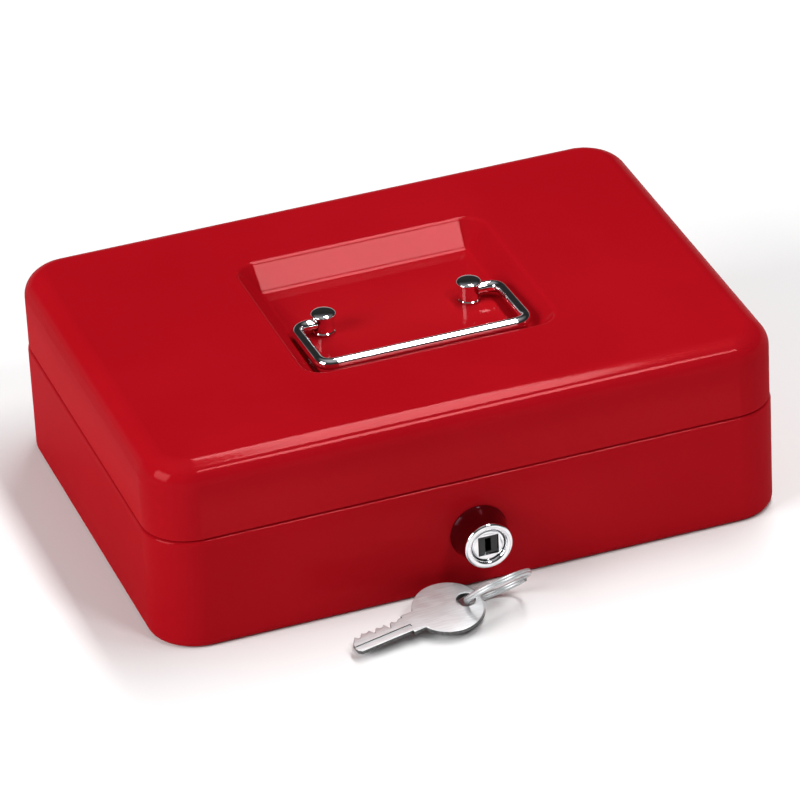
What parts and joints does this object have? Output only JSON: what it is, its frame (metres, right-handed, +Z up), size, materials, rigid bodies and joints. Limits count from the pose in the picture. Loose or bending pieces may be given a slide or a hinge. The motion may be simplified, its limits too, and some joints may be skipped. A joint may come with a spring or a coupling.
{
  "type": "cash box",
  "caption": "Steel cash box with rounded corners, hinged lid with a sunk folding handle, cam lock, lift-out coin tray and keys on a split ring.",
  "frame": {"origin": "middle of the underside, on the surface that the box stands on", "axes": "+X along the box to the right seen from the lock side, +Y to the hinges, +Z up"},
  "size_m": [0.25, 0.2196, 0.0775],
  "materials": {
    "red_paint": "gloss red enamel",
    "chrome": "polished chrome plate",
    "zinc_plate": "bright zinc plate",
    "nickel_steel": "nickel-plated steel",
    "tray_plastic": "fine-grain moulded plastic"
  },
  "bodies": {
    "box": {"body_tub": "red_paint", "lock_bezel": "chrome", "lock_housing": "zinc_plate", "lock_nut": "zinc_plate", "hinge_body_leaf_left": "zinc_plate", "hinge_body_leaf_right": "zinc_plate", "hinge_pin_left": "nickel_steel", "hinge_pin_right": "nickel_steel", "body_rivet_left_1": "nickel_steel", "body_rivet_left_2": "nickel_steel", "body_rivet_right_1": "nickel_steel", "body_rivet_right_2": "nickel_steel", "tray_ledge_left": "red_paint", "tray_ledge_right": "red_paint"},
    "lid": {"lid_shell": "red_paint", "lid_catch": "zinc_plate", "hinge_lid_leaf_left": "zinc_plate", "hinge_lid_leaf_right": "zinc_plate", "lid_rivet_left_1": "nickel_steel", "lid_rivet_left_2": "nickel_steel", "lid_rivet_right_1": "nickel_steel", "lid_rivet_right_2": "nickel_steel", "handle_post_left": "chrome", "handle_post_right": "chrome", "post_washer_left": "zinc_plate", "post_washer_right": "zinc_plate"},
    "handle": {"handle_bail": "chrome"},
    "lock_core": {"lock_plug": "chrome", "keyway_shutter": "tray_plastic", "lock_cam": "zinc_plate", "cam_screw": "zinc_plate"},
    "tray": {"coin_tray": "tray_plastic"},
    "keyring": {"key_ring": "nickel_steel"},
    "key_one": {"key_1": "nickel_steel"},
    "key_two": {"key_2": "nickel_steel"}
  },
  "joints": [
    {"name": "lid_hinge", "type": "hinge", "parent": "box", "child": "lid", "pos_m": [0, 0.0912, 0.0467], "axis": [-1, 0, 0], "range_deg": [0, 100]},
    {"name": "handle_fold", "type": "hinge", "parent": "lid", "child": "handle", "pos_m": [0.0026, 0.0015, 0.0722], "axis": [-1, 0, 0], "range_deg": [0, 175]},
    {"name": "lock_turn", "type": "hinge", "parent": "box", "child": "lock_core", "pos_m": [0, -0.097, 0.0235], "axis": [0, 1, 0], "range_deg": [0, 90]},
    {"name": "tray_lift", "type": "slide", "parent": "box", "child": "tray", "axis": [0, 0, 1], "range_m": [0, 0.005]},
    {"name": "keys_slide", "type": "slide", "parent": "box", "child": "keyring", "axis": [0, -1, 0], "range_m": [0, 0.08]},
    {"name": "key_1_swing", "type": "hinge", "parent": "keyring", "child": "key_one", "pos_m": [-0.0127, -0.10782, 0.00688], "axis": [-0.0175, -0.1803, 0.9835], "range_deg": [-8, 20]},
    {"name": "key_2_swing", "type": "hinge", "parent": "keyring", "child": "key_two", "pos_m": [-0.01094, -0.10476, 0.00444], "axis": [-0.0237, -0.1796, 0.9835], "range_deg": [-20, 8]}
  ]
}
